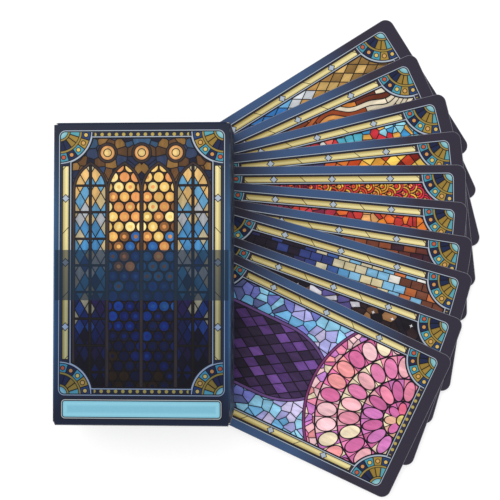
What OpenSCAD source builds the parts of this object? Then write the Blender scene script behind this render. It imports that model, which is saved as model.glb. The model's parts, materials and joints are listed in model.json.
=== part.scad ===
// A deck of tarot cards: a tuck carton leaning on a fan of ten cards, with the rest of the deck inside.
// Millimetres, +Z up. The origin is the middle of the whole spread, on the table.

/* [Cards] */
// Width of one card
card_w = 70; // [55:0.5:90]
// Length of one card
card_l = 120; // [95:0.5:150]
// Thickness of one card
card_t = 0.3; // [0.25:0.01:0.4]
// Radius of a card's corners
card_corner_r = 4; // [2:0.5:7]
// Air between one lying card and the next
card_air = 0.02; // [0.01:0.01:0.04]
// Trump cards in the whole deck
trump_count = 22; // [20:1:26]
// Cards in each of the four suits
suit_count = 14; // [12:1:16]

/* [Carton] */
// Thickness of the folding board
board_t = 0.45; // [0.35:0.05:0.6]
// Radius inside a fixed fold
crease_inner_r = 0.3; // [0.2:0.05:0.5]
// Room beside the cards, on each side
side_play = 1.1; // [0.6:0.1:2]
// Room along the cards, at the lid end
end_play = 3; // [2:0.5:5]
// Room over the full deck
depth_play = 0.6; // [0.3:0.1:1.5]

/* [Lid and tongue] */
// How far each end of the lid stays inside the carton's width
lid_inset = 0.8; // [0.5:0.1:1.5]
// Length of the tongue that tucks behind the front panel
tongue_l = 12; // [8:0.5:16]
// How far each end of the tongue stays inside the carton's width
tongue_inset = 1.6; // [1.2:0.1:3]
// Radius of the tongue's free corners
tongue_corner_r = 9; // [4:0.5:11]
// Inward slant of the tucked tongue, in degrees
tongue_lean = 8; // [4:0.5:12]
// How far the tongue folds in while the lid opens, in degrees
tongue_swing = 21.25; // [15:0.25:24]
// Gap between the tongue's fold and the front panel
tongue_gap = 0.3; // [0.2:0.05:0.6]

/* [Dust flaps] */
// Length of each dust flap
dust_flap_l = 14; // [8:0.5:15]
// Cut corner at the tip, beside the front panel
dust_flap_cut = 3; // [1:0.5:4]
// Gap from a dust flap to the inside of the front panel
dust_front_gap = 4; // [3.5:0.5:6]
// Gap from a dust flap's root to the inside of the back panel
dust_back_gap = 1.2; // [0.8:0.1:2]

/* [Seam and bottom] */
// Width of the glue flap inside the left side
glue_flap_w = 14; // [8:0.5:18]
// How much each end of the glue flap is cut back at its free edge
glue_flap_slant = 4; // [1:0.5:8]
// Reach of the inner bottom flap from the back panel
bottom_inner_l = 18; // [8:0.5:20]
// Reach of each side flap at the bottom
bottom_side_l = 16; // [8:0.5:25]
// How much each edge of a bottom side flap is cut back at its tip
bottom_side_slant = 2; // [0.5:0.5:4]
// Relief left open at the folded corners
corner_relief = 0.2; // [0.1:0.05:0.5]

/* [Clearances] */
// Gap along a fold that opens
fold_gap = 0.03; // [0.02:0.01:0.06]
// Gap between board layers that slide on each other
layer_gap = 0.05; // [0.03:0.01:0.1]
// Gap between the carton and the cards that it leans on
rest_gap = 0.05; // [0.03:0.01:0.2]

/* [Layout] */
// Place across of the carton's corner that stands on the table, with cards of the usual length
carton_x = -80.5; // [-90:0.5:-75]
// Place along of the carton's corner that stands on the table, with cards of the usual length
carton_y = 51.25; // [45:0.25:60]

/* [Hidden] */
$fn = 64;

// The fan as it is laid by hand, lowest card first: the turn of each card's long axis,
// and the middle of the short edge that lies under the carton. Longer cards spread wider
usual_card_l = 120;
spread = card_l / usual_card_l;
fan_turn = [32, 24.5, 14, 6, 0.5, -5, -9, -16, -20, -25.5];
fan_x = spread * [-21, -21, -21, -21.5, -23, -25, -24, -25, -29, -32.5];
fan_y = spread * [11.5, 7, 7.5, 6, 2, -3.5, -10.5, -12, -23.5, -28.5];
fan_tint = [
    "tan", "peru", "firebrick", "goldenrod", "crimson",
    "orangered", "saddlebrown", "lightsteelblue", "dimgray", "orchid"
];
fan_count = len(fan_turn);
print_navy = "midnightblue";
paper_white = "whitesmoke";

// The deck
card_pitch = card_t + card_air;
deck_count = trump_count + 4 * suit_count;
trumps_left = trump_count - fan_count;

// The carton, measured from its lower left back edge: x across, y towards the lid, z towards the front
crease_r = board_t + crease_inner_r;
bottom_layers = 3 * board_t;
carton_w = card_w + 2 * side_play + 3 * board_t;
carton_d = deck_count * card_pitch + depth_play + 2 * board_t;
front_l = card_l + end_play + bottom_layers;
side_bottom = 2 * board_t + crease_r;
side_top = front_l - fold_gap;
flap_y = front_l + board_t / 2;
lid_y = flap_y + board_t + layer_gap;
back_bottom = board_t + crease_r;
back_top = lid_y - board_t / 2 - fold_gap;
tongue_z = carton_d - board_t - tongue_gap - board_t / 2;
tongue_free_r = min(tongue_corner_r, tongue_l - board_t);
dust_root_z = board_t + dust_back_gap;
dust_front_z = carton_d - board_t - dust_front_gap;
packet_x = (carton_w + board_t) / 2;
packet_y = bottom_layers + layer_gap;
packet_z = board_t + card_air;

// The carton's lean: it stands on one corner and rests along the top card's short edge
top_turn = fan_turn[fan_count - 1];
lean_axis = [cos(top_turn + 90), sin(top_turn + 90), 0];
lean_way = [cos(top_turn), sin(top_turn)];
foot = spread * [carton_x, carton_y, 0];
// Centre of a card's corner arc in the fan: along is 0 or 1 from the covered end, side is -1 or 1
function fan_corner(i, along, side) =
    let (s = card_corner_r + along * (card_l - 2 * card_corner_r))
    let (t = side * (card_w / 2 - card_corner_r))
    [fan_x[i] + s * cos(fan_turn[i]) - t * sin(fan_turn[i]),
     fan_y[i] + s * sin(fan_turn[i]) + t * cos(fan_turn[i])];
fan_corners = [for (i = [0 : fan_count - 1]) [for (a = [0, 1], s = [-1, 1]) fan_corner(i, a, s)]];
// How far each card stays from the foot, square to the edge that carries the carton
fan_run = [for (c = fan_corners) min([for (p = c) (p - [foot.x, foot.y]) * lean_way]) - card_corner_r];
lean = max([for (i = [0 : fan_count - 1]) atan2(i * card_pitch + card_t + rest_gap, fan_run[i])]);

// Where a point of the carton lies once it leans
function leaned(p) =
    let (v = p - [0, side_top, 0])
    foot + v * cos(lean) - cross(lean_axis, v) * sin(lean) + lean_axis * (lean_axis * v) * (1 - cos(lean));
carton_corners = [for (x = [0, carton_w], y = [0, back_top], z = [0, carton_d]) leaned([x, y, z])];
fan_reach = [for (c = fan_corners, p = c, s = [-1, 1]) p + s * [card_corner_r, card_corner_r]];
reach_x = concat([for (p = fan_reach) p[0]], [for (p = carton_corners) p[0]]);
reach_y = concat([for (p = fan_reach) p[1]], [for (p = carton_corners) p[1]]);
middle = [(min(reach_x) + max(reach_x)) / 2, (min(reach_y) + max(reach_y)) / 2, 0];

// Puts the carton's pieces where it leans
module in_carton() {
    translate(foot - middle)
        rotate(a = -lean, v = lean_axis)
            translate([0, -side_top, 0])
                children();
}

// Extrudes a cross profile (x, z) along the carton, between two places in y
module along_y(from, to) {
    translate([0, to, 0])
        rotate([90, 0, 0])
            linear_extrude(to - from)
                children();
}

// Extrudes an end profile (y, z) across the carton, between two places in x
module along_x(from, to) {
    translate([from, 0, 0])
        rotate([90, 0, 90])
            linear_extrude(to - from)
                children();
}

// A quarter round of folded board, towards the given sides of its centre
module fold(centre, x_way, y_way) {
    translate(centre)
        intersection() {
            difference() {
                circle(crease_r);
                circle(crease_inner_r);
            }
            translate([min(0, x_way * crease_r), min(0, y_way * crease_r)])
                square(crease_r);
        }
}

// One card, standing on its short edge's middle
module card() {
    linear_extrude(card_t) {
        for (x = [-1, 1], y = [card_corner_r, card_l - card_corner_r])
            translate([x * (card_w / 2 - card_corner_r), y])
                circle(card_corner_r);
        translate([-card_w / 2, card_corner_r])
            square([card_w, card_l - 2 * card_corner_r]);
        translate([card_corner_r - card_w / 2, 0])
            square([card_w - 2 * card_corner_r, card_l]);
    }
}

module front_panel() {
    color(print_navy)
        in_carton()
            translate([crease_r, crease_r, carton_d - board_t])
                cube([carton_w - 2 * crease_r, front_l - crease_r, board_t]);
}

module back_panel() {
    left = board_t + crease_r;
    color(print_navy)
        in_carton()
            translate([left, back_bottom, 0])
                cube([carton_w - crease_r - left, back_top - back_bottom, board_t]);
}

// The left side ends in a cut edge at the back, where the glue flap holds it
module left_side() {
    color(print_navy)
        in_carton()
            along_y(side_bottom, side_top) {
                square([board_t, carton_d - crease_r]);
                fold([crease_r, carton_d - crease_r], -1, 1);
            }
}

// The right side folds into both the front and the back panel
module right_side() {
    color(print_navy)
        in_carton()
            along_y(side_bottom, side_top) {
                translate([carton_w - board_t, crease_r])
                    square([board_t, carton_d - 2 * crease_r]);
                fold([carton_w - crease_r, carton_d - crease_r], 1, 1);
                fold([carton_w - crease_r, crease_r], 1, -1);
            }
}

// The glue flap folds up from the back panel and is stuck to the left side, with slanted ends
module glue_flap() {
    from = side_bottom + board_t;
    to = side_top - board_t;
    color(paper_white)
        in_carton()
            intersection() {
                along_y(from, to) {
                    translate([board_t, crease_r])
                        square([board_t, glue_flap_w - crease_r]);
                    fold([board_t + crease_r, crease_r], -1, -1);
                }
                along_x(0, 2 * board_t + crease_r)
                    polygon([
                        [from, 0], [to, 0], [to, crease_r], [to - glue_flap_slant, glue_flap_w],
                        [from + glue_flap_slant, glue_flap_w], [from, crease_r]
                    ]);
            }
}

// The bottom's outer panel folds from the front panel and is stuck over the others
module bottom_panel() {
    color(print_navy)
        in_carton()
            along_x(crease_r + corner_relief, carton_w - crease_r - corner_relief) {
                translate([0, corner_relief])
                    square([board_t, carton_d - crease_r - corner_relief]);
                fold([crease_r, carton_d - crease_r], -1, 1);
            }
}

module bottom_inner_flap() {
    color(paper_white)
        in_carton()
            along_x(board_t + crease_r + corner_relief, carton_w - crease_r - corner_relief) {
                translate([board_t, crease_r])
                    square([board_t, bottom_inner_l - crease_r]);
                fold([board_t + crease_r, crease_r], -1, -1);
            }
}

// A bottom side flap, drawn for the left side, narrower towards its tip
module bottom_side_flap() {
    low = crease_r + corner_relief;
    high = carton_d - crease_r - corner_relief;
    intersection() {
        linear_extrude(carton_d) {
            translate([crease_r, 2 * board_t])
                square([bottom_side_l - crease_r, board_t]);
            fold([crease_r, side_bottom], -1, -1);
        }
        along_y(2 * board_t, side_bottom)
            polygon([
                [0, low], [crease_r, low], [bottom_side_l, low + bottom_side_slant],
                [bottom_side_l, high - bottom_side_slant], [crease_r, high], [0, high]
            ]);
    }
}

module bottom_left_flap() {
    color(paper_white)
        in_carton()
            bottom_side_flap();
}

module bottom_right_flap() {
    color(paper_white)
        in_carton()
            translate([carton_w, 0, 0])
                mirror([1, 0, 0])
                    bottom_side_flap();
}

// The lid turns on a round fold at the back panel's edge. Its other end is mitred,
// so that the tongue can fold in
module top_lid() {
    half = board_t / 2;
    folded_in = tongue_lean + tongue_swing;
    outer_end = tongue_z - half - fold_gap;
    inner_end = tongue_z - (half * (1 + sin(folded_in)) + fold_gap) / cos(folded_in);
    color(print_navy)
        in_carton()
            along_x(lid_inset, carton_w - lid_inset)
                translate([lid_y, 0]) {
                    translate([0, half])
                        circle(half);
                    polygon([[-half, half], [half, half], [half, outer_end], [-half, inner_end]]);
                }
}

// What rounding takes off a lower corner, towards the given side of it
module round_off(r, x_way) {
    translate([min(0, x_way * r), 0])
        difference() {
            square(r);
            translate([x_way > 0 ? r : 0, r])
                circle(r);
        }
}

// The tongue slants inwards behind the front panel and has round free corners
module tuck_tongue() {
    tongue_w = carton_w - 2 * tongue_inset;
    color(print_navy)
        in_carton()
            translate([tongue_inset, lid_y, tongue_z])
                rotate([tongue_lean, 0, 0]) {
                    rotate([0, 90, 0])
                        cylinder(d = board_t, h = tongue_w);
                    translate([0, 0, -board_t / 2])
                        linear_extrude(board_t)
                            difference() {
                                translate([0, -tongue_l])
                                    square([tongue_w, tongue_l]);
                                for (x = [0, tongue_w])
                                    translate([x, -tongue_l])
                                        round_off(tongue_free_r, x == 0 ? 1 : -1);
                            }
                }
}

// A dust flap, drawn for the left side: its slanted back edge keeps clear of the opening lid
module dust_flap() {
    translate([board_t / 2, flap_y, 0]) {
        translate([0, 0, dust_root_z])
            cylinder(d = board_t, h = dust_front_z - dust_root_z);
        along_y(-board_t / 2, board_t / 2)
            polygon([
                [0, dust_root_z], [dust_flap_l, dust_root_z + dust_flap_l],
                [dust_flap_l, dust_front_z - dust_flap_cut],
                [dust_flap_l - dust_flap_cut, dust_front_z], [0, dust_front_z]
            ]);
    }
}

module left_dust_flap() {
    color(paper_white)
        in_carton()
            dust_flap();
}

module right_dust_flap() {
    color(paper_white)
        in_carton()
            translate([carton_w, 0, 0])
                mirror([1, 0, 0])
                    dust_flap();
}

// Part of the deck in the carton: a number of cards, counted from the back panel
module packet(first, count) {
    in_carton()
        for (i = [first : first + count - 1])
            translate([packet_x, packet_y, packet_z + i * card_pitch])
                card();
}

module trumps_packet() {
    color("slategray")
        packet(0, trumps_left);
}

module wands_packet() {
    color("sienna")
        packet(trumps_left, suit_count);
}

module cups_packet() {
    color("steelblue")
        packet(trumps_left + suit_count, suit_count);
}

module swords_packet() {
    color("slateblue")
        packet(trumps_left + 2 * suit_count, suit_count);
}

module coins_packet() {
    color("darkgoldenrod")
        packet(trumps_left + 3 * suit_count, suit_count);
}

// One card of the fan, counted from the table
module fan_card(i) {
    color(fan_tint[i])
        translate([fan_x[i], fan_y[i], i * card_pitch] - middle)
            rotate(fan_turn[i] - 90)
                card();
}

front_panel();
back_panel();
left_side();
right_side();
glue_flap();
bottom_panel();
bottom_inner_flap();
bottom_left_flap();
bottom_right_flap();
top_lid();
tuck_tongue();
left_dust_flap();
right_dust_flap();
trumps_packet();
wands_packet();
cups_packet();
swords_packet();
coins_packet();
fan_card(0);  // card_01
fan_card(1);  // card_02
fan_card(2);  // card_03
fan_card(3);  // card_04
fan_card(4);  // card_05
fan_card(5);  // card_06
fan_card(6);  // card_07
fan_card(7);  // card_08
fan_card(8);  // card_09
fan_card(9);  // card_10
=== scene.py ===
import json
import math

import bmesh
import bpy
from mathutils import Matrix, Vector


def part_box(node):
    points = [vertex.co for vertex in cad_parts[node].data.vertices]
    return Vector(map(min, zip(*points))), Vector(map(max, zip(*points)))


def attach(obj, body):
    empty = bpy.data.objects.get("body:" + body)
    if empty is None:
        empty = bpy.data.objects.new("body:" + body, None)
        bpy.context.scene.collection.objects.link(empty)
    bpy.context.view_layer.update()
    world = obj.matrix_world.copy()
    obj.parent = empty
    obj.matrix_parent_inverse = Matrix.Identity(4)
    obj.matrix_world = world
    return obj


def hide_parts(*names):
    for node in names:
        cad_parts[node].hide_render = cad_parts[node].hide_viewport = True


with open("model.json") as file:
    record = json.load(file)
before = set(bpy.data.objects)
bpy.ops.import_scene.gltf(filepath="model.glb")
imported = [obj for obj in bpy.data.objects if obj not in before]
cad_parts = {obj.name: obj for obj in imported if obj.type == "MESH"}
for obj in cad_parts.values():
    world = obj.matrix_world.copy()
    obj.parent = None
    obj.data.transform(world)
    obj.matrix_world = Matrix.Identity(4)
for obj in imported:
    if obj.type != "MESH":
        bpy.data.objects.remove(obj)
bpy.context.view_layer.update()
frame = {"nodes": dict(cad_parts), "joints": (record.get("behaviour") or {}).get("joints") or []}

# Dealt cards
# Ten tarot cards of coated stock, die-cut with round corners and laid in a fan, lowest first.
# Each is one sheet with a printed face, a printed back and a bare paper edge, and nothing holds it.
MM = 0.001
card_w = 70.0
card_l = 120.0
card_corner = 4.0
corner_steps = 10
rim_round = 0.05
rim_steps = 2
flat_side = 0.9
face_side, back_side, cut_side = range(3)


def new_piece(name, shape):
    """Makes a finished shape an object of the scene."""
    mesh = bpy.data.meshes.new(name)
    shape.to_mesh(mesh)
    shape.free()
    piece = bpy.data.objects.new(name, mesh)
    bpy.context.scene.collection.objects.link(piece)
    return piece


def cut_card(name, node, turn):
    """A card in its solid's place, with a face, a back, a cut edge, and a map of the face in millimetres."""
    low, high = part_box(node)
    shape = bmesh.new()
    bmesh.ops.create_grid(shape, x_segments=1, y_segments=1, size=0.5)
    bmesh.ops.scale(shape, vec=(card_w, card_l, 1.0), verts=shape.verts)
    bmesh.ops.bevel(shape, geom=shape.verts[:], offset=card_corner, offset_type="OFFSET",
                    segments=corner_steps, profile=0.5, affect="VERTICES", material=-1)
    risen = bmesh.ops.extrude_face_region(shape, geom=shape.faces[:])["geom"]
    lifted = [v for v in risen if isinstance(v, bmesh.types.BMVert)]
    bmesh.ops.translate(shape, vec=(0.0, 0.0, (high.z - low.z) / MM), verts=lifted)
    bmesh.ops.recalc_face_normals(shape, faces=shape.faces)
    rims = [edge for edge in shape.edges if abs(edge.verts[0].co.z - edge.verts[1].co.z) < rim_round]
    bmesh.ops.bevel(shape, geom=rims, offset=rim_round, offset_type="OFFSET",
                    segments=rim_steps, profile=0.5, affect="EDGES", material=-1)
    shape.normal_update()
    print_map = shape.loops.layers.uv.new("print")
    for face in shape.faces:
        up = face.normal.z
        face.material_index = face_side if up > flat_side else back_side if up < -flat_side else cut_side
        for loop in face.loops:
            loop[print_map].uv = loop.vert.co.xy
    centre = (low + high) / 2
    place = Matrix.Translation((centre.x, centre.y, low.z)) @ Matrix.Rotation(turn, 4, "Z")
    bmesh.ops.transform(shape, matrix=place @ Matrix.Scale(MM, 4), verts=shape.verts)
    return new_piece(name, shape)


class Ink:
    """One output of a shader node. Operators on it add Math nodes, and node() adds any other kind."""

    def __init__(self, socket):
        self.socket = socket

    def node(self, kind, settings=None, inputs=None, output=0):
        tree = self.socket.id_data
        made = tree.nodes.new(kind)
        for name, value in (settings or {}).items():
            if name == "stops":
                made.color_ramp.interpolation = "CONSTANT"
                while len(made.color_ramp.elements) < len(value):
                    made.color_ramp.elements.new(1.0)
                for stop, (position, colour) in zip(made.color_ramp.elements, value):
                    stop.position = position
                    stop.color = colour
            else:
                setattr(made, name, value)
        for key, value in (inputs or {}).items():
            if isinstance(value, Ink):
                tree.links.new(value.socket, made.inputs[key])
            else:
                made.inputs[key].default_value = value
        return Ink(made.outputs[output])

    def other(self, output):
        return Ink(self.socket.node.outputs[output])

    def math(self, operation, *values, clamp=False):
        settings = {"operation": operation, "use_clamp": clamp}
        return self.node("ShaderNodeMath", settings, dict(enumerate((self, *values))))

    def vector(self, operation, *values, output=0):
        return self.node("ShaderNodeVectorMath", {"operation": operation},
                         dict(enumerate((self, *values))), output)

    def part(self, axis):
        return self.node("ShaderNodeSeparateXYZ", None, {0: self}, axis)

    def between(self, off, on):
        return self.node("ShaderNodeMix", {"data_type": "RGBA"}, {0: self, 6: off, 7: on}, 2)

    def __add__(self, other):
        return self.math("ADD", other)

    __radd__ = __add__

    def __sub__(self, other):
        return self.math("SUBTRACT", other)

    def __rsub__(self, other):
        return self.math("MULTIPLY_ADD", -1.0, other)

    def __mul__(self, other):
        return self.math("MULTIPLY", other)

    __rmul__ = __mul__

    def __truediv__(self, other):
        return self.math("DIVIDE", other)

    def __rtruediv__(self, other):
        return self.node("ShaderNodeMath", {"operation": "DIVIDE"}, {0: other, 1: self})

    def __abs__(self):
        return self.math("ABSOLUTE")

    def __lt__(self, other):
        return self.math("LESS_THAN", other)

    def __gt__(self, other):
        return self.math("GREATER_THAN", other)


def tint(code):
    """A written colour such as #2b2836, as the linear values that a shader takes."""
    shares = [int(code[i:i + 2], 16) / 255 for i in (1, 3, 5)]
    return (*(s / 12.92 if s < 0.04045 else ((s + 0.055) / 1.055) ** 2.4 for s in shares), 1.0)


print_blur = 0.12


def within(distance, soft=print_blur):
    """1 where a distance is below zero, with a printed edge."""
    return distance.math("MULTIPLY_ADD", -1.0 / soft, 0.5, clamp=True)


def line(distance, width, soft=print_blur):
    """1 along a line where a distance is zero."""
    return abs(distance).math("MULTIPLY_ADD", -1.0 / soft, 0.5 + width / (2.0 * soft), clamp=True)


def length(x, y):
    return (x * x + y * y).math("SQRT")


def least(first, *others):
    for other in others:
        first = first.math("MINIMUM", other)
    return first


def most(first, *others):
    for other in others:
        first = first.math("MAXIMUM", other)
    return first


def round_box(x, y, half_x, half_y, corner):
    """Distance to the outline of a box with round corners, below zero inside."""
    beyond_x = abs(x) - (half_x - corner)
    beyond_y = abs(y) - (half_y - corner)
    outside = length(most(beyond_x, 0.0), most(beyond_y, 0.0))
    return outside + least(most(beyond_x, beyond_y), 0.0) - corner


def pointed_light(aside, y, half, swing, spring):
    """Distance to a pointed light's outline, below zero inside. A longer swing gives a taller point."""
    arcs = length(abs(aside) + swing, most(y - spring, 0.0)) - (half + swing)
    return most(arcs, abs(aside) - half)


def chance_of(*cells):
    """A lasting chance value for each pane, from its cell numbers."""
    spot = cells[0].node("ShaderNodeCombineXYZ", None, dict(enumerate(cells)))
    return spot.node("ShaderNodeTexWhiteNoise", {"noise_dimensions": "2D"}, {"Vector": spot})


def to_seam(cell):
    """How far a place is from the seams on both sides of its cell, in cells."""
    share = cell.math("FRACT")
    return least(share, 1.0 - share)


def from_middle(place, pitch):
    """How far a place is from the middle of its stretch of a pattern that repeats."""
    return (place / pitch).math("FRACT") * pitch - pitch / 2


def times(colour, factor):
    return colour.node("ShaderNodeMix", {"data_type": "RGBA", "blend_type": "MULTIPLY"},
                       {0: 1.0, 6: colour, 7: factor}, 2)


# The pane patterns. Each gives where along the sheet a pane lies, its chance value,
# and the distance in millimetres to the nearest lead line.
def mosaic(x, y, cell, drift):
    """Panes of every shape. Another drift takes another stretch of the same endless pattern."""
    spot = x.node("ShaderNodeCombineXYZ", None, {0: x / cell + drift, 1: y / cell + drift})
    panes = spot.node("ShaderNodeTexVoronoi", {"voronoi_dimensions": "2D"},
                      {"Vector": spot, "Scale": 1.0}, "Color")
    chance = panes.node("ShaderNodeSeparateColor", None, {0: panes})
    along = (panes.other("Position").part(1) - drift) * cell
    edges = spot.node("ShaderNodeTexVoronoi", {"voronoi_dimensions": "2D", "feature": "DISTANCE_TO_EDGE"},
                      {"Vector": spot, "Scale": 1.0}, "Distance")
    return along, chance, edges * cell


def quarries(x, y, wide, tall):
    """Lozenge panes."""
    rising = x / wide + y / tall
    falling = x / wide - y / tall
    column, row = rising.math("FLOOR"), falling.math("FLOOR")
    seam = least(to_seam(rising), to_seam(falling)) * (wide * tall / math.hypot(wide, tall))
    return (column - row) * (tall / 2), chance_of(column, row), seam


def bricks(x, y, wide, tall):
    """Oblong panes, each row shifted against the last."""
    row_shift = 0.37
    row = (x / wide).math("FLOOR")
    shifted = y / tall + row * row_shift
    course = shifted.math("FLOOR")
    seam = least(to_seam(x / wide) * wide, to_seam(shifted) * tall)
    return (course - row * row_shift) * tall, chance_of(course, row), seam


def scales(x, y, wide):
    """Scales that overlap in rows, each of three rings."""
    row_h = wide / 2
    ring_h = row_h / 3
    ring_shift = 0.31
    row = (y / row_h).math("FLOOR")
    rise = y - row * row_h
    column = x / wide + row * 0.5
    aside = (column.math("FRACT") - 0.5) * wide
    lower = length(aside, rise)
    upper = length(row_h - abs(aside), row_h - rise)
    front = lower < row_h
    away = upper + (lower - upper) * front
    ring = away / ring_h
    which = chance_of(row - front, (column + front * 0.5).math("FLOOR"))
    seam = least(to_seam(ring) * ring_h, abs(lower - row_h))
    return (row - front) * row_h, (which + ring.math("FLOOR") * ring_shift).math("FRACT"), seam


def sunburst(x, y, centre, rays, ring):
    """Rays from a centre, cut into rings."""
    dx, dy = x - centre[0], y - centre[1]
    away = length(dx, dy)
    sector = dy.math("ARCTAN2", dx) * (rays / math.tau)
    hoop = away / ring
    seam = least(to_seam(sector) * away * (math.tau / rays), to_seam(hoop) * ring)
    wedge, course = sector.math("FLOOR"), hoop.math("FLOOR")
    along = ((wedge + 0.5) * (math.tau / rays)).math("SINE") * (course + 0.5) * ring + centre[1]
    return along, chance_of(wedge, course), seam


def waves(x, y, wide):
    """Wavy bands of long panes."""
    pane_l = 23.0
    row_shift = 0.43
    slow_rate, slow_swing = 0.13, 3.2
    quick_rate, quick_swing, quick_lean = 0.31, 1.1, 0.1
    slant = 0.85
    bend = ((y * slow_rate).math("SINE") * slow_swing
            + (y * quick_rate + x * quick_lean).math("SINE") * quick_swing)
    band = (x + bend) / wide
    row = band.math("FLOOR")
    stretch = y / pane_l + row * row_shift
    column = stretch.math("FLOOR")
    seam = least(to_seam(band) * wide, to_seam(stretch) * pane_l) * slant
    return (column + 0.5 - row * row_shift) * pane_l, chance_of(row, column), seam


lead = tint("#14121a")
lead_w = 0.42
dimmest_pane = 0.72
pane_spread = 0.34
reshuffle = 7.0
heart_rate = 0.12
heart_lift = 0.14


def glaze(panes, palette, start, end, mixing):
    """Panes in the palette's colours, in turn from start to end, or all mixed where mixing is above 1."""
    along, chance, seam = panes
    mark = (along - start) / (end - start) + (chance - 0.5) * mixing
    if mixing > 1.0:
        mark = mark.math("FRACT")
    stops = [(i / len(palette), tint(code)) for i, code in enumerate(palette)]
    colour = mark.node("ShaderNodeValToRGB", {"stops": stops}, {0: mark})
    shade = (chance * reshuffle).math("FRACT") * pane_spread + dimmest_pane
    light = shade + (seam * heart_rate).math("MINIMUM", heart_lift)
    return line(seam, lead_w).between(times(colour, light), lead)


def leaded(colour, distance, width, middle, lead_at, lead_line):
    """A coloured line between two lead lines, over the colour so far."""
    colour = line(distance, width).between(colour, middle)
    return line(abs(distance) - lead_at, lead_line).between(colour, lead)


night = tint("#332f3d")
edge_blue = tint("#3f5a82")
silver = tint("#aebac8")
gold_dark = tint("#9a8442")
gold_pale = tint("#f6e8a8")
teal = tint("#4a9dac")
teal_pale = tint("#b8e0e2")
coral = tint("#c0563f")

strip_half = 1.15
strip_panes = 3
strip_rim = 0.3
strip_seam = 0.4
seam_lean = 0.08
lozenge_half = 1.45
lozenge_lead = 1.9
lozenge_squash = 1.1
shine_off = 0.25
shine_fall = 0.9
shine_share = 0.66
pane_share = 0.24
fade_share = 0.14


def gold_strip(colour, inset, run, run_half):
    """A strip of gold panes with a lozenge at every second seam, over the colour so far."""
    pitch = run_half / strip_panes
    step = run / pitch
    panel = most(abs(inset) - strip_half, abs(run) - run_half)
    shine = abs(inset / strip_half + shine_off).math("MULTIPLY_ADD", -shine_fall, 1.0, clamp=True)
    fade = run * (fade_share / run_half)
    tone = shine * shine_share + chance_of(step.math("FLOOR"), step.math("FLOOR")) * pane_share + fade
    gold = tone.between(gold_dark, gold_pale)
    colour = within(panel - strip_rim).between(colour, lead)
    colour = within(panel).between(colour, gold)
    slanted = step + inset * seam_lean
    colour = (line(to_seam(slanted) * pitch, strip_seam) * within(panel)).between(colour, lead)
    lozenge = to_seam(step / 2) * (2 * pitch) + abs(inset) * lozenge_squash
    colour = (within(lozenge - lozenge_lead) * within(panel - strip_rim)).between(colour, lead)
    return (within(lozenge - lozenge_half) * within(panel - strip_rim)).between(colour, silver)


fan_panes = 20
fan_rings = 3
fan_glass = ["#1d2444", "#3b8496", "#27406a", "#62aebb", "#22304e", "#a3853c", "#458fa4", "#1f2a4c",
             "#c8603f", "#7cc0c8", "#2b5f78"]
jewel_at = 0.83
jewel_r = 0.068
bowl_rim = 0.9
fan_lead = 0.3
fan_edge = 0.4


def corner_fan(colour, u, v, reach):
    """A quarter fan of small panes that opens from a corner, over the colour so far."""
    away = length(u, v)
    ring = reach / fan_rings
    panes = sunburst(u, v, (0.0, 0.0), fan_panes, ring)
    colour = within(away - reach).between(colour, glaze(panes, fan_glass, start=0.0, end=reach, mixing=2.1))
    sector = v.math("ARCTAN2", u) * (fan_panes / math.tau)
    swing = (sector.math("FRACT") - 0.5) * (math.tau / fan_panes)
    off_axis = away * swing.math("SINE")
    jewel = length(away * swing.math("COSINE") - reach * jewel_at, off_axis) - reach * jewel_r
    spark = chance_of(sector.math("FLOOR"), sector.math("FLOOR")).between(coral, tint("#d9bf6a"))
    colour = within(jewel).between(colour, spark)
    colour = line(jewel, width=0.34).between(colour, lead)
    colour = leaded(colour, away - 2 * ring, width=0.8, middle=gold_dark, lead_at=0.5, lead_line=fan_lead)
    colour = within(away - ring).between(colour, gold_dark)
    glass = (away / ring).math("MINIMUM", 1.0).between(teal_pale, teal)
    colour = within(away - (ring - bowl_rim)).between(colour, glass)
    colour = line(abs(away - (ring - bowl_rim / 2)) - bowl_rim / 2, fan_lead).between(colour, lead)
    colour = line(away - reach + fan_edge, width=0.4).between(colour, lead)
    return line(away - reach, width=0.36).between(colour, silver)


frame_corner = 2.5
fan_gap = 0.9
bead_pitch = 3.0
bead_r = 0.72
bead_gap = 1.2
strip_gap = 1.3
window_silver = 0.62
outer_lead = 0.35


def glass_frame(ground, picture, x, y, line_half, window_half, reach):
    """The border round a picture: silver lines, gold strips at the long sides, beads and corner fans."""
    side, end = abs(x), abs(y)
    u, v = line_half[0] - side, line_half[1] - end
    outer = round_box(x, y, *line_half, frame_corner)
    window = most(side - window_half[0], end - window_half[1], reach + fan_gap - length(u, v))
    bead_at = (line_half[1] + window_half[1]) / 2
    bead = length(from_middle(x, bead_pitch), end - bead_at) - bead_r
    bead_row = within(bead) * within(side - (line_half[0] - reach - bead_gap))
    colour = bead_row.between(ground, tint("#b7a152"))
    strip_at = (line_half[0] + window_half[0]) / 2
    colour = gold_strip(colour, side - strip_at, y, line_half[1] - reach - strip_gap)
    colour = within(window).between(colour, picture)
    colour = line(window, width=0.5).between(colour, lead)
    colour = line(window - window_silver, width=0.34).between(colour, silver)
    colour = within(outer).between(ground, corner_fan(colour, u, v, reach))
    colour = line(outer + outer_lead, width=0.5).between(colour, lead)
    return line(outer, width=0.3).between(colour, silver)


# The border that all the faces share is darkest at the ends and blue along the middle of the long sides.
face_line = (31.3, 54.4)
face_window = (26.7, 51.2)
face_fan = 14.0
glow_below = 4.0
glow_fade = 26.0
glow_run = 1.6
glow_inner = 30.8
glow_rise = 0.9
glow_most = 0.9


def card_frame(picture, x, y):
    along_edge = abs(y + glow_below).math("MULTIPLY_ADD", -1 / glow_fade, glow_run, clamp=True)
    near_edge = (abs(x) - glow_inner).math("MULTIPLY", glow_rise, clamp=True)
    ground = (along_edge * near_edge * glow_most).between(night, edge_blue)
    return glass_frame(ground, picture, x, y, face_line, face_window, face_fan)


tooth_strength = 0.25
tooth_depth = 0.02


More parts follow.
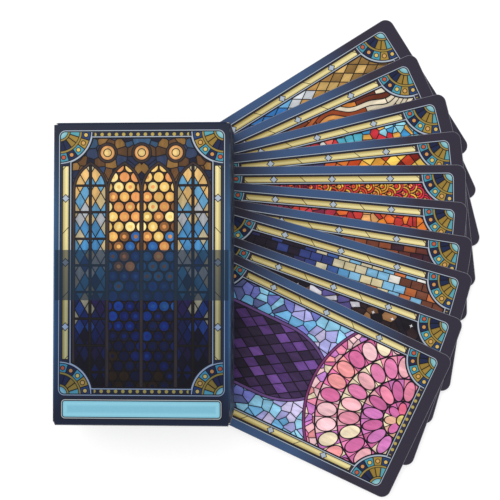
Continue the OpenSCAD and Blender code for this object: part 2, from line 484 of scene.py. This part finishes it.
def new_print(name):
    """A material with only its surface shader, and an output to draw from."""
    material = bpy.data.materials.new(name)
    material.use_nodes = True
    return material, Ink(material.node_tree.nodes["Principled BSDF"].outputs[0])


def lay(material, colour, roughness, height, gloss):
    """Puts colour, roughness and a fine relief on the surface, with an even gloss level."""
    surface = material.node_tree.nodes["Principled BSDF"]
    links = material.node_tree.links
    links.new(colour.socket, surface.inputs["Base Color"])
    links.new(roughness.socket, surface.inputs["Roughness"])
    relief = height.node("ShaderNodeBump", None,
                         {"Strength": tooth_strength, "Distance": tooth_depth * MM, "Height": height})
    links.new(relief.socket, surface.inputs["Normal"])
    surface.inputs["Specular IOR Level"].default_value = gloss


def grain_of(point, scale):
    """The fine tooth of coated paper, from a place in millimetres."""
    return point.node("ShaderNodeTexNoise", None, {"Vector": point, "Scale": scale, "Detail": 3.0})


rose_r = 44.0
rose_eye = 2.6
rose_gap = 0.6
rose_span = (5.0, 51.0)
rose_blues = ["#57608f", "#777dcb", "#71b2df", "#94d0ee", "#aeaee7", "#d0c8ec", "#9bd4ee", "#b99cd8"]
rose_darks = ["#2a2234", "#3d2e4c", "#553872", "#32253f", "#6f4a92", "#443056"]
rose_pinks = ["#e172a6", "#ec8daa", "#f3b8c1", "#f7e5c4", "#f0989c", "#d680cc", "#f3c8cc", "#e88698",
              "#c686d4"]
rose_rings = (
    (32, 29.5, 38.5, ["#e172a6", "#ee96af", "#f7e5c4", "#d37bc8", "#f3c3ca", "#f09a9c"]),
    (24, 19.0, 28.5, ["#d870a8", "#ee98af", "#f5debf", "#e07ead", "#f3b2bb", "#f7e5c4"]),
    (16, 8.5, 18.0, ["#cf6aa0", "#eb8ba8", "#f5debf", "#d37bbd", "#f2afb7"]),
    (8, 2.0, 8.0, ["#f6e6bf", "#e36c8d", "#f2bca0", "#d570ab"]),
)
petal_share = 0.92
fill_shift = 3.0
far_seam = 2.0


def half_rose(x, y):
    """Half a rose of pink panes at the outer end, and at the other a dark light among blue panes."""
    down = face_window[1] - y
    away = length(x, down)
    turn = down.math("ARCTAN2", x)
    colour = glaze(mosaic(x, y, cell=4.4, drift=9.0), rose_blues, start=-45.0, end=45.0, mixing=0.5)
    dark = glaze(quarries(x, y, wide=5.2, tall=8.4), rose_darks, start=-52.0, end=14.0, mixing=0.9)
    outline = pointed_light(x, y, half=16.5, swing=15.0, spring=-12.0)
    colour = within(outline).between(colour, dark)
    colour = leaded(colour, outline, width=1.2, middle=tint("#6b4d86"), lead_at=0.7, lead_line=0.4)
    pinks = glaze(mosaic(x, y, cell=3.7, drift=2.0), rose_pinks, *rose_span, mixing=1.5)
    colour = within(away - rose_r).between(colour, pinks)
    for count, low, high, palette in rose_rings:
        sector = turn * (count / math.tau)
        leaf = sector.math("FLOOR")
        swing = (sector.math("FRACT") - 0.5) * (math.tau / count)
        middle, half = (low + high) / 2, (high - low) / 2
        slim = half / (middle * math.tan(math.pi / count) * petal_share)
        petal = length(away * swing.math("COSINE") - middle, away * swing.math("SINE") * slim) - half
        place = ((leaf + 0.5) * (math.tau / count)).math("SINE") * -middle + face_window[1]
        no_seam = away * 0.0 + far_seam
        ground = glaze((place, chance_of(leaf, leaf), no_seam), palette, *rose_span, mixing=1.8)
        fill_chance = chance_of(leaf + fill_shift, leaf)
        fill = glaze((place, fill_chance, no_seam), palette[::-1], *rose_span, mixing=1.8)
        ring = within(away - high - rose_gap)
        colour = ring.between(colour, ground)
        colour = (line(away * (math.pi / count - abs(swing)), width=0.4) * ring).between(colour, lead)
        colour = within(petal).between(colour, fill)
        colour = line(petal / slim, lead_w).between(colour, lead)
        colour = line(away - high - rose_gap, width=0.7).between(colour, lead)
    colour = within(away - rose_eye).between(colour, tint("#e7cf7c"))
    colour = line(away - rose_eye, width=0.6).between(colour, lead)
    return leaded(colour, away - rose_r, width=0.9, middle=tint("#7d3a6e"), lead_at=0.6, lead_line=0.4)


star_pitch = (7.0, 9.0)
star_rise = 2.0
star_blunt = 0.03
star_reach = 1.15
night_glass = ["#17131c", "#241a2e", "#1b1620", "#57508a", "#c9c6cf", "#6d4a33", "#8f6743", "#2a1d20",
               "#16121a", "#1d1822"]


def starry(x, y):
    """A night field of dark, violet and brown panes with four-pointed stars."""
    sky = glaze(mosaic(x, y, cell=4.4, drift=5.0), night_glass, start=-45.0, end=48.0, mixing=0.35)
    spot_x = from_middle(x, star_pitch[0])
    spot_y = from_middle(y + star_rise, star_pitch[1])
    star = (abs(spot_x) + star_blunt).math("SQRT") + (abs(spot_y) + star_blunt).math("SQRT") - star_reach
    return within(star, soft=0.25).between(sky, tint("#dcd9dc"))


def glazed(pattern, sizes, palette, start, end, mixing):
    """A picture of one pattern, for a face that is still to be printed."""
    return lambda x, y: glaze(pattern(x, y, **sizes), palette, start, end, mixing)


faces = {
    "01": glazed(quarries, {"wide": 4.8, "tall": 7.4},
                 ["#2b2234", "#1f3f78", "#2f6fb0", "#67a6d4", "#cfd3d8", "#b98d4e", "#a37a40", "#c9a564",
                  "#8a6a3a"], start=-30.0, end=42.0, mixing=0.32),
    "02": glazed(waves, {"wide": 2.3},
                 ["#2b2230", "#3f5a3c", "#7a3a20", "#a5562a", "#c77a34", "#8b4022", "#d08f4c", "#6b2f1d",
                  "#b8547c", "#d9cdb4"], start=-34.0, end=44.0, mixing=0.36),
    "03": glazed(mosaic, {"cell": 3.3, "drift": 1.0},
                 ["#7d1f2c", "#c43a44", "#a42a35", "#d4675a", "#e0dcd6", "#55b4cc", "#c8323c", "#d9a24a",
                  "#3e8fc4", "#8fcfe0"], start=-22.0, end=46.0, mixing=0.42),
    "04": glazed(sunburst, {"centre": (8.0, 58.0), "rays": 56, "ring": 4.6},
                 ["#37305e", "#57408a", "#c4582a", "#d9742c", "#e6a03c", "#c8481f", "#efc65a", "#7a2018",
                  "#b03a20"], start=-14.0, end=46.0, mixing=0.4),
    "05": glazed(scales, {"wide": 6.4},
                 ["#8a1f3a", "#c8323f", "#d9542c", "#e79a34", "#efc04c", "#d8402f", "#e8a93e", "#c92f42",
                  "#d6334f"], start=-26.0, end=46.0, mixing=0.5),
    "06": glazed(mosaic, {"cell": 3.6, "drift": 7.0},
                 ["#7a2a44", "#b8354a", "#cf4438", "#a02c30", "#e3a868", "#d9642e", "#c23a36", "#e0852f",
                  "#d8742c"], start=-24.0, end=46.0, mixing=0.4),
    "07": glazed(bricks, {"wide": 3.0, "tall": 5.6},
                 ["#231c2c", "#2f2440", "#3a2a2a", "#6b3a2c", "#4a2430", "#8a4a30", "#5c2f2a", "#3c2430"],
                 start=-30.0, end=48.0, mixing=0.6),
    "08": glazed(bricks, {"wide": 3.6, "tall": 5.2},
                 ["#221c2a", "#2c2d56", "#34407a", "#3f5c98", "#c9bfa0", "#5d9ccc", "#d8caa0", "#7fb6d8",
                  "#b9683a", "#d9d6cf", "#6d4030"], start=-34.0, end=46.0, mixing=0.42),
    "09": starry,
    "10": half_rose,
}

# The back of every card carries the same print: a navy lattice in silver lines.
back_half = (31.0, 56.0)
back_heart = 2.2
double_gap = 0.5


def lattice_back(x, y):
    _, chance, seam = quarries(x, y, wide=7.0, tall=12.0)
    colour = chance.between(tint("#1c2036"), tint("#26304f"))
    colour = line(seam, width=0.35).between(colour, tint("#7f8ca6"))
    colour = within(back_heart - seam).between(colour, tint("#3f6b86"))
    outside = round_box(x, y, *back_half, corner=3.0)
    colour = within(outside).between(tint("#211f2b"), colour)
    return line(abs(outside) - double_gap, width=0.3).between(colour, silver)


streak_rate = (0.42, 0.11, 0.42)
streak_contrast = 1.1
streak_floor = 0.45


def streaked(colour, point):
    """The clouds and streaks of hand-made glass, over a picture's colours."""
    drawn_out = point.vector("MULTIPLY", streak_rate)
    cloud = drawn_out.node("ShaderNodeTexNoise", None,
                           {"Vector": drawn_out, "Scale": 1.0, "Detail": 4.0, "Distortion": 0.8})
    return times(colour, cloud * streak_contrast + streak_floor)


card_grain = 2.2
wear_w = 0.2
wear_uneven = 0.14
wear_rate = 6.0
wear_most = 0.7
card_mottle = 0.16
card_shade = 0.92
coat_spread = 0.16
coat_rough = 0.36
coat_gloss = 0.12


def card_print(name, draw, framed):
    """A printed side of a card: its picture, the border, paler wear at the rim, and the coating's satin."""
    material, start = new_print(name)
    point = start.node("ShaderNodeUVMap", {"uv_map": "print"})
    x, y = point.part(0), point.part(1)
    colour = draw(x, y)
    if framed:
        colour = card_frame(streaked(colour, point), x, y)
    grain = grain_of(point, card_grain)
    rim = round_box(x, y, card_w / 2, card_l / 2, card_corner)
    wear = (rim + wear_w + grain * wear_uneven).math("MULTIPLY", wear_rate, clamp=True)
    colour = (wear * wear_most).between(colour, tint("#8f8e98"))
    colour = times(colour, grain * card_mottle + card_shade)
    lay(material, colour, grain * coat_spread + coat_rough, grain, coat_gloss)
    return material


edge_fibres = (900.0, 900.0, 9000.0)
paper_spread = 0.2
paper_rough = 0.65
paper_gloss = 0.25


def bare_edge(name):
    """The cut edge of the card stock: pale fibres, pressed in layers."""
    material, start = new_print(name)
    point = start.node("ShaderNodeTexCoord", None, None, "Object")
    fibre = grain_of(point.vector("MULTIPLY", edge_fibres), scale=1.0)
    colour = fibre.between(tint("#8b8884"), tint("#c9c5bd"))
    lay(material, colour, fibre * paper_spread + paper_rough, fibre, paper_gloss)
    return material


card_back = card_print("card_back_lattice", lattice_back, False)
card_edge = bare_edge("card_stock_edge")
joints = {joint["name"]: joint for joint in frame["joints"]}
drawn = Vector(joints["card_10_draw"]["axis"])
top_turn = math.atan2(drawn.y, drawn.x)
for number, draw in faces.items():
    swing = joints.get(f"card_{number}_swing")
    turn = top_turn + (math.radians(swing["range_deg"][1]) if swing else 0.0)
    card = cut_card(f"dealt_card_{number}", f"card_{number}", turn - math.pi / 2)
    for material in (card_print(f"card_face_{number}", draw, True), card_back, card_edge):
        card.data.materials.append(material)
    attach(card, f"fan_card_{number}")
    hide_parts(f"card_{number}")

# Carton
# A tuck carton folded from one blank of white-lined board, printed outside and satin laminated.
# Its left side is stuck to the glue flap and its bottom flaps are stuck together, so these panels stay put.
upward = Vector(joints["packet_slide"]["axis"])
outward = Vector(joints["left_flap_fold"]["axis"])
across = upward.cross(outward)
carton_turn = Matrix((across, upward, outward)).transposed().to_euler()


def extent(node, axis):
    """The least and the most that a node reaches along an axis."""
    along = [vertex.co.dot(axis) for vertex in frame["nodes"][node].data.vertices]
    return min(along), max(along)


carton_left = extent("left_side", across)[0]
carton_foot = extent("bottom_panel", upward)[0]
carton_back = extent("back_panel", outward)[0]
carton_w = (extent("right_side", across)[1] - carton_left) / MM
carton_h = (extent("front_panel", upward)[1] - carton_foot) / MM
carton_d = (extent("front_panel", outward)[1] - carton_back) / MM
carton_top = (extent("top_lid", upward)[1] - carton_foot) / MM
board_t = (extent("front_panel", outward)[1] - extent("front_panel", outward)[0]) / MM
carton_origin = across * carton_left + upward * carton_foot + outward * carton_back
fold_round = 0.75
print_depth = board_t * 0.35


def on_carton(start):
    """Places on the carton in millimetres, from its lower left back corner."""
    point = start.node("ShaderNodeTexCoord", None, None, "Object")
    place = {"Vector": point, "Location": carton_origin, "Rotation": carton_turn, "Scale": (MM,) * 3}
    return start.node("ShaderNodeMapping", {"vector_type": "TEXTURE"}, place)


def on_shell(start, x, y, z):
    """1 on the outside of the closed carton, and 0 on cut edges and inside."""
    shell = round_box(x - carton_w / 2, z - carton_d / 2, carton_w / 2, carton_d / 2, fold_round)
    return within(least(shell * -1.0, y, carton_top - y) - print_depth, soft=0.05)


board_grain = 1.6
scuff_grain = 0.35
scuff_contrast = 2.4
fold_fall = 1.6
fold_wear = 0.55
rub_most = 0.4
board_mottle = 0.12
board_shade = 0.94
board_spread = 0.14
board_rough = 0.34


def board_finish(material, point, x, y, z, printed, outside):
    """Print on the outside of the board, bare white fibre inside and on cut edges, and rubbed folds."""
    fibre = grain_of(point, board_grain)
    colour = fibre.between(tint("#b9b5ad"), tint("#dad7d0"))
    if printed:
        fold_x = abs(abs(x - carton_w / 2) - carton_w / 2)
        fold_z = abs(abs(z - carton_d / 2) - carton_d / 2)
        fold_y = least(abs(y), abs(y - carton_top))
        folds = least(most(fold_x, fold_z), most(fold_x, fold_y), most(fold_z, fold_y))
        scuff = (grain_of(point, scuff_grain) - 0.5) * scuff_contrast
        wear = (folds * -fold_fall + fold_wear + scuff).math("MULTIPLY", 1.0, clamp=True)
        inked = (wear * rub_most).between(printed, tint("#a3a4ad"))
        colour = outside.between(colour, inked)
    colour = times(colour, fibre * board_mottle + board_shade)
    lay(material, colour, fibre * board_spread + board_rough, fibre, coat_gloss)


navy = tint("#242a3b")
panel_blue = tint("#34587c")
blue_fade = 30.0
blue_run = 1.9
blue_fall = 0.24
blue_edge = 1.05


def edge_glow(along, full, from_edge):
    """How blue the navy ground is: most along the middle of a long edge."""
    return (abs(along - full / 2).math("MULTIPLY_ADD", -1 / blue_fade, blue_run, clamp=True)
            * from_edge.math("MULTIPLY_ADD", -blue_fall, blue_edge, clamp=True))


def roundels(x, y, wide):
    """Round crown panes in staggered rows. The gaps between them take a palette's first colour."""
    tall = wide * math.sqrt(3.0)
    crown_r = wide * 0.46
    boss_r = wide * 0.17
    boss_shift = 0.25
    gap_shift = 9.0
    column, row = (x / wide).math("ROUND"), (y / tall).math("ROUND")
    next_column, next_row = (x / wide).math("FLOOR") + 0.5, (y / tall).math("FLOOR") + 0.5
    near = length(x - column * wide, y - row * tall)
    beside = length(x - next_column * wide, y - next_row * tall)
    ours = near < beside
    column = next_column + (column - next_column) * ours
    row = next_row + (row - next_row) * ours
    away = least(near, beside)
    crown, boss = away < crown_r, away < boss_r
    chance = chance_of(column, row) + boss * boss_shift
    return row * tall, (chance + gap_shift) * crown - gap_shift, abs(away - crown_r)


light_step = 14.2
light_half = 6.4
light_spring = 96.6
crown_pitch = light_step / 3
bar_pitch = 11.0
upright_half = 0.55
bar_half = 0.4
stone = tint("#3a302e")
stone_w = 0.9
stone_out = 0.5
stone_lead_at = 0.55
stone_lead = 0.35
eyelet_y = 112.6
eyelet_r = 3.6
eyelet_ring = 0.45
dusk_rise = 62.0
dusk_start = 0.2
dusk_least = 0.26
wall_glass = ["#1b1e32", "#2b3a58", "#5c4029", "#232b44", "#8a6636", "#33405e", "#6b4a2c", "#3a5878"]
crown_glass = ["#463022", "#1b2350", "#232a4c", "#1e2c6a", "#22388a", "#1f4a9c", "#2a3f96", "#2f62a4",
               "#3f78b0", "#8a5c34", "#d79153", "#e5ac5e", "#ecc26c", "#f4db90", "#efc672", "#df9557"]
pale_glass = ["#1b1830", "#262048", "#1f2c66", "#33285a", "#232c5a", "#2f4f96", "#b4a888", "#4684b4",
              "#a0a4a8", "#bca678", "#5c94b8", "#c2b694", "#dcb270"]


def gothic_window(x, y):
    """Four pointed lights under round eyelets: the inner two of crown panes, the outer two of quarries."""
    side = abs(x)
    wall = glaze(mosaic(side, y, cell=3.8, drift=3.0), wall_glass, start=14.0, end=118.0, mixing=1.4)
    crowns = glaze(roundels(x, y, crown_pitch), crown_glass, start=14.0, end=114.0, mixing=0.3)
    outer = side - 1.5 * light_step
    pale = glaze(quarries(outer, y, wide=4.3, tall=7.4), pale_glass, start=16.0, end=106.0, mixing=0.36)
    bar = least(abs(outer) - upright_half, to_seam(y / bar_pitch) * bar_pitch - bar_half)
    pale = within(bar).between(pale, tint("#2c2422"))
    pale = line(bar, width=0.3).between(pale, lead)
    dusk = y.math("MULTIPLY_ADD", 1 / dusk_rise, -dusk_start, clamp=True) * (1.0 - dusk_least) + dusk_least
    glass = times((side < light_step).between(pale, crowns), dusk)
    aside = ((x / light_step).math("FRACT") - 0.5) * light_step
    outline = pointed_light(aside, y, half=light_half, swing=light_half, spring=light_spring)
    colour = within(outline).between(wall, glass)
    colour = leaded(colour, outline - stone_out, stone_w, stone, stone_lead_at, stone_lead)
    away = length(x - (x / light_step).math("ROUND") * light_step, y - eyelet_y)
    glow = (away / eyelet_r).between(tint("#f4dc90"), tint("#c86f38"))
    colour = within(away - eyelet_r).between(colour, glow)
    colour = line(away - eyelet_r * eyelet_ring, width=0.4).between(colour, lead)
    return leaded(colour, away - eyelet_r, stone_w, stone, stone_lead_at, stone_lead)


front_half = carton_w / 2
front_line = (34.3, 54.6)
front_window = (28.9, 51.4)
front_fan = 13.5
front_y = 67.2
shade_end = 48.0
shade_fade = 30.0
band = (51.6, 72.4)
band_cover = 0.76
plate_half = (32.6, 3.4)
plate_y = 6.9
plate_rim = 0.5
sheen_in = 1.2
sheen_fall = 0.8


def front_print(point, from_left, y, z):
    """The front: a framed window, a dark see-through band across it, and a bare plate below."""
    x = from_left - carton_w / 2
    ground = edge_glow(y, carton_h, front_half - abs(x)).between(navy, panel_blue)
    picture = streaked(gothic_window(x, y), point)
    colour = glass_frame(ground, picture, x, y - front_y, front_line, front_window, front_fan)
    day = (y - shade_end).math("MULTIPLY", 1 / shade_fade, clamp=True)
    colour = times(colour, day.between(tint("#bfcce4"), tint("#ffffff")))
    veil = within(abs(y - sum(band) / 2) - (band[1] - band[0]) / 2)
    colour = (veil * band_cover).between(colour, tint("#14283b"))
    plate = round_box(x, y - plate_y, *plate_half, corner=1.0)
    colour = within(plate - plate_rim).between(colour, tint("#a9b0b4"))
    colour = line(plate - plate_rim * 1.5, width=0.35).between(colour, lead)
    sheen = abs(plate + sheen_in).math("MULTIPLY_ADD", -sheen_fall, 1.0, clamp=True)
    colour = within(plate).between(colour, sheen.between(tint("#7cbad0"), tint("#8ecade")))
    return line(plate, width=0.4).between(colour, tint("#23343f"))


old_gold = tint("#a48f4c")
stud_blue = tint("#3f6f8f")
chain_pitch = 9.0
chain_half = 3.2
chain_squash = 1.3
chain_heart = 1.6
side_line = 9.6


def side_print(point, x, y, z):
    """The narrow sides: navy, bluer in the middle, with silver lines and a chain of lozenges."""
    middle = z - carton_d / 2
    ground = edge_glow(y, carton_h, carton_d / 2 - abs(middle)).between(navy, panel_blue)
    chain = (to_seam(y / chain_pitch) * chain_pitch + abs(middle) * chain_squash) - chain_half
    colour = line(chain, width=0.4).between(ground, old_gold)
    colour = within(chain + chain_heart).between(colour, stud_blue)
    return line(abs(middle) - side_line, width=0.4).between(colour, silver)


lattice_margin = 3.4
lattice_heart = 2.6


def back_print(point, x, y, z):
    """The back: the cards' lattice, larger, in a silver line."""
    middle_x, middle_y = x - carton_w / 2, y - carton_h / 2
    _, chance, seam = quarries(middle_x, middle_y, wide=8.0, tall=13.0)
    colour = chance.between(tint("#171b2e"), tint("#202a48"))
    colour = line(seam, width=0.4).between(colour, tint("#6f7c98"))
    colour = within(lattice_heart - seam).between(colour, tint("#93803f"))
    outer_half = (front_half - lattice_margin, carton_h / 2 - lattice_margin)
    outer = round_box(middle_x, middle_y, *outer_half, corner=3.0)
    colour = within(outer).between(navy, colour)
    return line(abs(outer) - double_gap, width=0.36).between(colour, silver)


end_navy = tint("#1f2c46")
end_margin = 4.0
stud_half = 4.2
stud_squash = 0.55
stud_heart = 1.7


def end_print(point, x, y, z):
    """The ends: plain navy with a silver line and one lozenge."""
    middle_x, middle_z = x - carton_w / 2, z - carton_d / 2
    ground = (abs(middle_x) / front_half).between(navy, end_navy)
    outer = round_box(middle_x, middle_z, front_half - end_margin, carton_d / 2 - end_margin, corner=1.5)
    colour = line(outer, width=0.36).between(ground, silver)
    stud = abs(middle_x) * stud_squash + abs(middle_z) - stud_half
    colour = line(stud, width=0.45).between(colour, old_gold)
    return within(stud + stud_heart).between(colour, stud_blue)


def carton_material(name, draw, outside=on_shell):
    """A carton panel's material: its print, if any, on the board."""
    material, start = new_print(name)
    point = on_carton(start)
    x, y, z = (point.part(axis) for axis in range(3))
    printed = draw(point, x, y, z) if draw else None
    board_finish(material, point, x, y, z, printed, outside(start, x, y, z) if draw else None)
    return material


def dress(node, material):
    frame["nodes"][node].data.materials.clear()
    frame["nodes"][node].data.materials.append(material)


dress("front_panel", carton_material("carton_front_print", front_print))
dress("back_panel", carton_material("carton_back_print", back_print))
spine = carton_material("carton_side_print", side_print)
dress("left_side", spine)
dress("right_side", spine)
carton_end = carton_material("carton_end_print", end_print)
dress("bottom_panel", carton_end)
bare_board = carton_material("bare_board", None)
for flap in ("glue_flap", "bottom_inner_flap", "bottom_left_flap", "bottom_right_flap"):
    dress(flap, bare_board)

# Lid, tongue and dust flaps
# Parts of the same blank that fold on scored creases: the lid and its tongue are printed outside,
# and the dust flaps under them are bare board. Only the tongue behind the front panel keeps them shut.
half_facing = 0.2


def facing(start, way):
    """How far a surface faces a given way, from 1 to -1."""
    normal = start.node("ShaderNodeTexCoord", None, None, "Normal")
    return normal.vector("DOT_PRODUCT", way.normalized(), output="Value")


def faces_out(start, x, y, z):
    """1 on the side of the tongue that is the outside of the blank."""
    return facing(start, upward + outward) > half_facing


def tongue_print(point, x, y, z):
    return (abs(x - carton_w / 2) / front_half).between(navy, end_navy)


dress("top_lid", carton_end)
dress("tuck_tongue", carton_material("carton_tongue_print", tongue_print, faces_out))
dress("left_dust_flap", bare_board)
dress("right_dust_flap", bare_board)

# Packed cards
# The rest of the deck stands in the carton, sorted by suit, with the cards' edges towards the lid.
# Each card is the same coated stock as the dealt ones.
packed_pitch = 0.32
packed_glass = ["#2b2234", "#1f3f78", "#7a3a20", "#3f8b9a", "#8a1f3a", "#c9a564"]
fibre_rate = (1.0, 1.0, 9.0)
full_facing = 0.7
packed_rough = 0.5
packed, start = new_print("packed_card_print")
point = on_carton(start)
fibre = grain_of(point.vector("MULTIPLY", fibre_rate), scale=1.4)
layer = chance_of((point.part(2) / packed_pitch).math("FLOOR"), 0.0)
stock = (fibre * 0.5 + layer * 0.5).between(tint("#77736e"), tint("#d6d2ca"))
packet_x = (sum(extent("cups_packet", across)) / 2 - carton_left) / MM
packet_y = (sum(extent("cups_packet", upward)) / 2 - carton_foot) / MM
x, y = point.part(0) - packet_x, point.part(1) - packet_y
turned = facing(start, outward)
picture = glaze(mosaic(x, y, cell=5.2, drift=6.0), packed_glass, start=-50.0, end=50.0, mixing=1.2)
stock = (turned > full_facing).between(stock, card_frame(picture, x, y))
stock = (turned < -full_facing).between(stock, lattice_back(x, y))
lay(packed, stock, fibre * paper_spread + packed_rough, fibre, paper_gloss)
for packet in ("trumps_packet", "wands_packet", "cups_packet", "swords_packet", "coins_packet"):
    dress(packet, packed)

# Table, light and camera
# A plain white table under soft light from above, seen straight down from over the middle of the spread.
table_half = 3.0
table_gap = 0.05
table_grey = (0.5, 0.5, 0.5, 1.0)
table_white = 0.61
black = (0.0, 0.0, 0.0, 1.0)
white = (1.0, 1.0, 1.0, 1.0)


def seen_white(start):
    """1 for a ray from the camera, a mirror or glass, to which the background is white."""
    rays = start.node("ShaderNodeLightPath", None, None, "Is Camera Ray")
    return most(rays, rays.other("Is Glossy Ray"), rays.other("Is Transmission Ray"))


table_top = bmesh.new()
bmesh.ops.create_grid(table_top, x_segments=1, y_segments=1, size=table_half)
bmesh.ops.translate(table_top, vec=(0.0, 0.0, -table_gap * MM), verts=table_top.verts)
floor = new_piece("table", table_top)
table_paint, start = new_print("table_paint")
table_surface = table_paint.node_tree.nodes["Principled BSDF"]
table_surface.inputs["Base Color"].default_value = table_grey
table_surface.inputs["Roughness"].default_value = 0.9
table_surface.inputs["Specular IOR Level"].default_value = 0.0
table_surface.inputs["Emission Strength"].default_value = table_white
white_out = seen_white(start).between(black, white)
table_paint.node_tree.links.new(white_out.socket, table_surface.inputs["Emission Color"])
floor.data.materials.append(table_paint)

sky_level = 0.74
world = bpy.data.worlds.new("studio")
bpy.context.scene.world = world
world.use_nodes = True
sky = world.node_tree.nodes["Background"]
sky.inputs["Color"].default_value = white
brightness = seen_white(Ink(sky.outputs[0])).math("MULTIPLY_ADD", 1.0 - sky_level, sky_level)
world.node_tree.links.new(brightness.socket, sky.inputs["Strength"])

lamp = bpy.data.lights.new("softbox", "AREA")
lamp.shape = "RECTANGLE"
lamp.size = 1.2
lamp.size_y = 0.9
lamp.energy = 6.0
softbox = bpy.data.objects.new("softbox", lamp)
softbox.location = (-0.5, 0.55, 0.95)
softbox.rotation_euler = (-softbox.location).to_track_quat("-Z", "Y").to_euler()
bpy.context.scene.collection.objects.link(softbox)

view_middle = (-10.76, 3.36)
view_height = 340.0
view_lens = 54.37
lens = bpy.data.cameras.new("overhead")
lens.sensor_width = 36.0
lens.lens = view_lens
lens.clip_start = 0.01
camera = bpy.data.objects.new("overhead", lens)
camera.location = Vector((*view_middle, view_height)) * MM
bpy.context.scene.collection.objects.link(camera)
bpy.context.scene.camera = camera
bpy.context.scene.view_settings.view_transform = "Standard"
